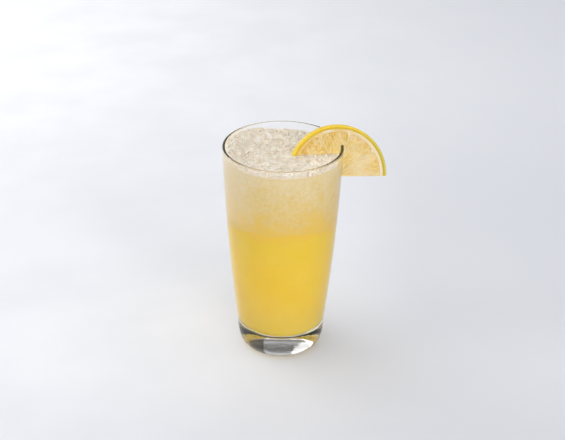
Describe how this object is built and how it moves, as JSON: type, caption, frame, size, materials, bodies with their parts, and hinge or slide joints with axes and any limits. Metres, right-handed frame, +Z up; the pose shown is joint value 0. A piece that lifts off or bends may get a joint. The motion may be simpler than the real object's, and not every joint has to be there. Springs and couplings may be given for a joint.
{
  "type": "glass of lemonade",
  "caption": "Tall clear tumbler with a thick base, filled with yellow lemonade under a deep layer of crushed ice, with a half slice of lemon hung on its rim.",
  "frame": {"origin": "centre of the glass's flat underside", "axes": "+Z up the glass's axis to the rim, the lemon slice on the +X side of the rim, its cut face towards -Y"},
  "size_m": [0.1086, 0.08, 0.1628],
  "materials": {
    "glass": "clear, polished",
    "lemonade": "cloudy yellow drink",
    "ice": "wet crushed ice",
    "lemon_zest": "waxy, finely pitted",
    "lemon_pith": "soft and dull",
    "lemon_flesh": "wet, juicy"
  },
  "bodies": {
    "root": {"glass": "glass", "lemonade": "lemonade", "crushed_ice": "ice", "lemon_slice": "lemon_flesh"}
  },
  "joints": []
}
